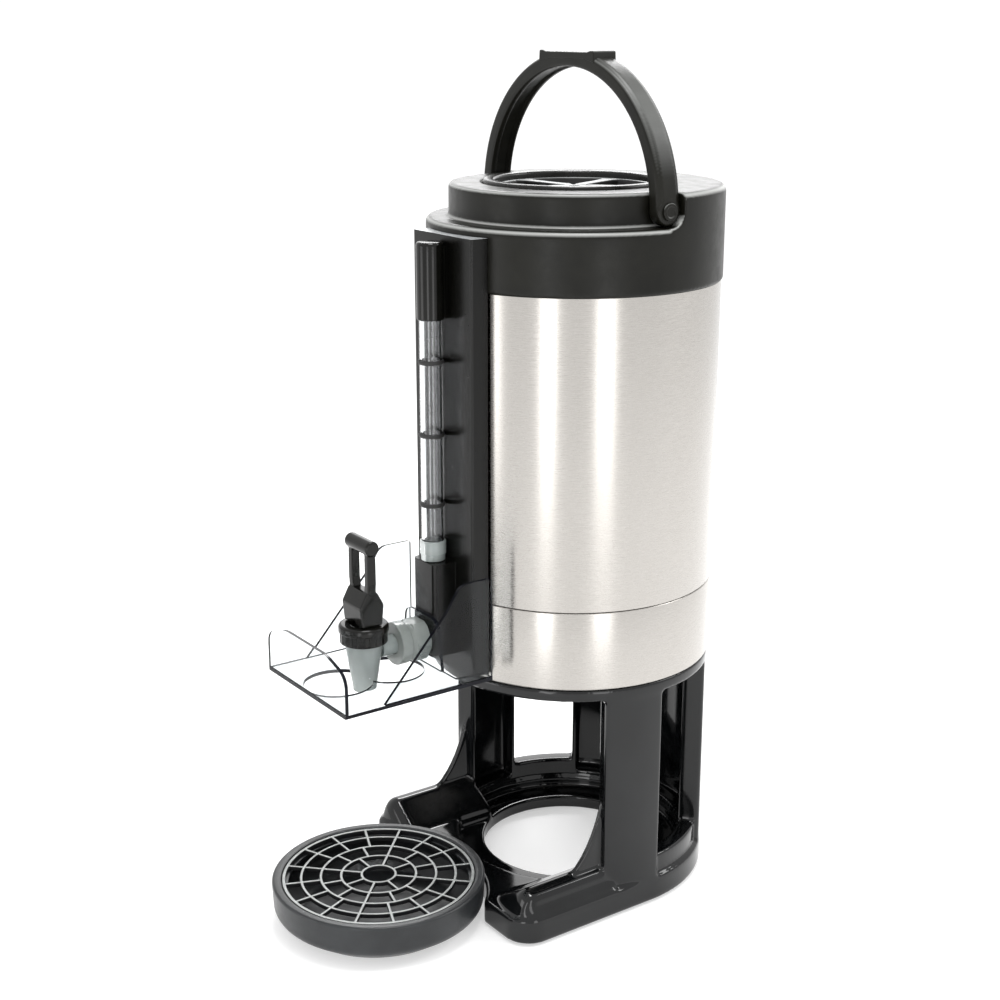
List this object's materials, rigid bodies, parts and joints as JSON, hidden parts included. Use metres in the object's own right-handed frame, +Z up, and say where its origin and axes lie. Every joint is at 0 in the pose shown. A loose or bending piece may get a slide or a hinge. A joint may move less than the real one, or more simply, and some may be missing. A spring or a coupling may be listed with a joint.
{
  "type": "insulated beverage dispenser",
  "caption": "Insulated gravity beverage dispenser on a moulded stand, with carry handle, brew-through lid, sight gauge, clear guard, lever faucet and removable drip tray.",
  "frame": {"origin": "centre of the footprint's bounding box, on the surface the dispenser stands on", "axes": "+Z up; the faucet and drip tray face -Y; +X is to the right of someone facing the faucet's back, the handle's pivot axis"},
  "size_m": [0.2124, 0.3585, 0.6138],
  "materials": {
    "steel_shell": "brushed, vertical grain",
    "liner_steel": "bright drawn",
    "collar_plastic": "matte, fine grain",
    "stand_plastic": "high gloss",
    "housing_plastic": "satin",
    "tray_plastic": "satin",
    "grate_plastic": "satin, worn pale on top",
    "clear_sheet": "clear",
    "clear_tube": "clear",
    "faucet_plastic": "translucent grey",
    "coupling_plastic": "translucent white",
    "rubber": "matte",
    "silicone": "soft matte",
    "foam": "rigid foam, low density",
    "fitting_steel": "polished"
  },
  "bodies": {
    "dispenser": {"bonnet": "housing_plastic", "coupling_gasket": "silicone", "coupling_nut": "coupling_plastic", "faucet_body": "faucet_plastic", "faucet_guard": "clear_sheet", "faucet_shank": "coupling_plastic", "faucet_spring": "fitting_steel", "foot_pad_1": "rubber", "foot_pad_2": "rubber", "foot_pad_3": "rubber", "foot_pad_4": "rubber", "gauge_housing": "housing_plastic", "gauge_lower_fitting": "faucet_plastic", "gauge_marker_1": "rubber", "gauge_marker_2": "rubber", "gauge_marker_3": "rubber", "gauge_top_cap": "housing_plastic", "gauge_tube": "clear_tube", "insulation_jacket": "foam", "liner_nut": "fitting_steel", "lower_shell": "steel_shell", "neck_ring": "collar_plastic", "outer_shell": "steel_shell", "pivot_pin_left": "collar_plastic", "pivot_pin_right": "collar_plastic", "shell_joint_ring": "collar_plastic", "stand": "stand_plastic", "stand_screw_1": "fitting_steel", "stand_screw_2": "fitting_steel", "stand_screw_3": "fitting_steel", "stand_screw_4": "fitting_steel", "tank_base": "liner_steel", "tank_gasket": "silicone", "tank_shoulder": "liner_steel", "tank_wall": "liner_steel", "top_collar": "collar_plastic"},
    "handle": {"handle": "collar_plastic", "handle_grip": "collar_plastic"},
    "lid": {"lid_ring": "collar_plastic", "lid_gasket": "silicone"},
    "funnel": {"brew_funnel": "collar_plastic", "brew_stem": "coupling_plastic"},
    "valve": {"valve_stem": "faucet_plastic", "seat_cup": "silicone", "lever_pin": "fitting_steel"},
    "lever": {"lever": "housing_plastic"},
    "tray": {"drip_tray": "tray_plastic", "tray_floor": "tray_plastic"},
    "grate": {"drip_grate": "grate_plastic"}
  },
  "joints": [
    {"name": "handle_swing", "type": "hinge", "parent": "dispenser", "child": "handle", "pos_m": [0, 0.0731, 0.5118], "axis": [1, 0, 0], "range_deg": [0, 90]},
    {"name": "lid_twist", "type": "hinge", "parent": "dispenser", "child": "lid", "pos_m": [0, 0.0731, 0.5], "axis": [0, 0, 1], "range_deg": [0, 90]},
    {"name": "funnel_lift", "type": "slide", "parent": "lid", "child": "funnel", "axis": [0, 0, 1], "range_m": [0, 0.05]},
    {"name": "valve_lift", "type": "slide", "parent": "dispenser", "child": "valve", "axis": [0, 0, 1], "range_m": [0, 0.004], "stiffness_N_per_m": 250, "springref_m": -0.002, "deforming": ["faucet_spring"]},
    {"name": "lever_tilt", "type": "hinge", "parent": "valve", "child": "lever", "pos_m": [0, -0.1089, 0.24], "axis": [1, 0, 0], "range_deg": [0, 35]},
    {"name": "tray_slide", "type": "slide", "parent": "dispenser", "child": "tray", "axis": [0, -1, 0], "range_m": [0, 0.1]},
    {"name": "grate_lift", "type": "slide", "parent": "tray", "child": "grate", "axis": [0, 0, 1], "range_m": [0, 0.05]}
  ],
  "couplings": [
    {"joint": "lever_tilt", "follows": "valve_lift", "rad_per_m": 152}
  ]
}
